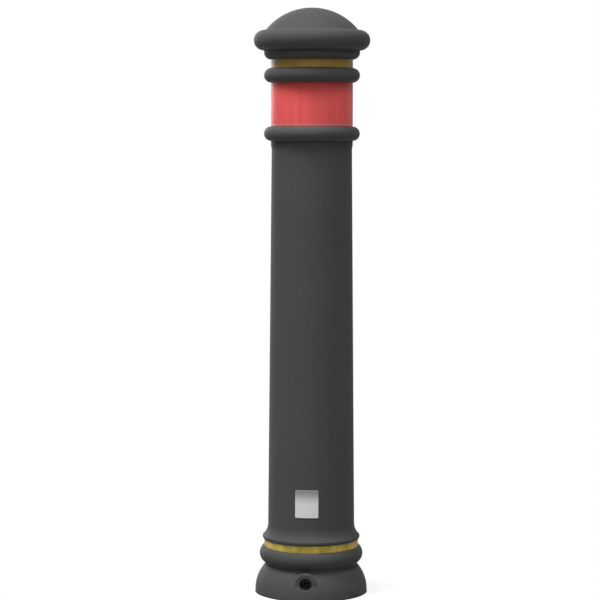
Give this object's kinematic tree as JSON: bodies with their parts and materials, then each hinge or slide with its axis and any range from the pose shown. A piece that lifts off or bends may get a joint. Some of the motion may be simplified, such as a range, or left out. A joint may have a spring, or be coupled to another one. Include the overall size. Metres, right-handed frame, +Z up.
{
  "type": "retractable bollard",
  "caption": "Heritage-style moulded bollard that slides down into a steel ground casing on guide rails, held up by a key-operated bolt lock and balanced by a gas strut.",
  "frame": {"origin": "on the post's axis at paving level, where the collar's top face lies", "axes": "+Z up along the post, the key hole faces -Y, +X to the right seen from the front"},
  "size_m": [0.3932, 0.3932, 2.2431],
  "materials": {
    "charcoal_polymer": "moulded satin",
    "gold_band": "satin gold",
    "red_reflective": "retroreflective sheeting",
    "galvanised_steel": "hot-dip galvanised",
    "zinc_hardware": "zinc plated",
    "tool_steel": "ground, oiled",
    "brass_fitting": "turned",
    "strut_black": "gloss black",
    "chrome_rod": "hard chromed",
    "nylon_natural": "machined",
    "black_rubber": "moulded"
  },
  "bodies": {
    "ground_casing": {"ground_collar": "galvanised_steel", "head_seat_ring": "black_rubber", "collar_screws": "zinc_hardware", "stop_buffer_ring": "black_rubber", "casing_flange": "galvanised_steel", "casing_tube": "galvanised_steel", "anchor_lugs": "galvanised_steel", "guide_rail_front_right": "galvanised_steel", "guide_rail_rear_right": "galvanised_steel", "guide_rail_rear_left": "galvanised_steel", "guide_rail_front_left": "galvanised_steel", "bolt_keeper_left": "tool_steel", "bolt_keeper_right": "tool_steel", "casing_base_plate": "galvanised_steel", "drain_spigot": "galvanised_steel", "drain_strainer": "galvanised_steel", "lower_buffers": "black_rubber", "strut_foot_bracket": "tool_steel", "strut_foot_pin": "zinc_hardware", "strut_rod": "chrome_rod", "strut_piston": "nylon_natural"},
    "post": {"post_sleeve": "charcoal_polymer", "dome_cap": "charcoal_polymer", "upper_gold_band": "gold_band", "reflective_band": "red_reflective", "lower_gold_band": "gold_band", "core_tube": "galvanised_steel", "head_plate": "galvanised_steel", "cap_tie_rod": "zinc_hardware", "tie_rod_nut": "zinc_hardware", "lifting_bush": "brass_fitting", "upper_centring_ring": "nylon_natural", "middle_centring_ring": "nylon_natural", "lower_centring_ring": "nylon_natural", "foot_plate": "galvanised_steel", "sleeve_screws": "zinc_hardware", "carriage_upper_plate": "galvanised_steel", "carriage_lower_plate": "galvanised_steel", "guide_shoe_front_right": "nylon_natural", "guide_shoe_rear_right": "nylon_natural", "guide_shoe_rear_left": "nylon_natural", "guide_shoe_front_left": "nylon_natural", "shoe_screws": "zinc_hardware", "lock_housing": "tool_steel", "bolt_guide_left": "tool_steel", "bolt_guide_right": "tool_steel", "drawbar_upper_guide": "nylon_natural", "drawbar_lower_guide": "nylon_natural", "strut_head_bracket": "tool_steel", "strut_head_pin": "zinc_hardware", "strut_cylinder": "strut_black", "strut_gland": "brass_fitting"},
    "key_cylinder": {"key_barrel": "tool_steel", "lock_pinion": "tool_steel", "barrel_circlip": "tool_steel"},
    "drawbar": {"lock_drawbar": "zinc_hardware"},
    "left_bolt": {"lock_bolt_left": "zinc_hardware", "bolt_pin_left": "tool_steel"},
    "right_bolt": {"lock_bolt_right": "zinc_hardware", "bolt_pin_right": "tool_steel"}
  },
  "joints": [
    {"name": "post_slide", "type": "slide", "parent": "ground_casing", "child": "post", "axis": [0, 0, 1], "range_m": [-0.937, 0], "stiffness_N_per_m": 68, "springref_m": 3.193},
    {"name": "drawbar_slide", "type": "slide", "parent": "post", "child": "drawbar", "axis": [0, 0, -1], "range_m": [0, 0.01885]},
    {"name": "key_turn", "type": "hinge", "parent": "post", "child": "key_cylinder", "pos_m": [0, -0.055, 0.029], "axis": [0, 1, 0], "range_deg": [0, 90]},
    {"name": "left_bolt_slide", "type": "slide", "parent": "post", "child": "left_bolt", "axis": [-1, 0, 0], "range_m": [0, 0.012]},
    {"name": "right_bolt_slide", "type": "slide", "parent": "post", "child": "right_bolt", "axis": [1, 0, 0], "range_m": [0, 0.012]}
  ],
  "couplings": [
    {"joint": "key_turn", "follows": "drawbar_slide", "rad_per_m": 83.333},
    {"joint": "left_bolt_slide", "follows": "drawbar_slide", "ratio": 0.63662},
    {"joint": "right_bolt_slide", "follows": "drawbar_slide", "ratio": 0.63662}
  ]
}
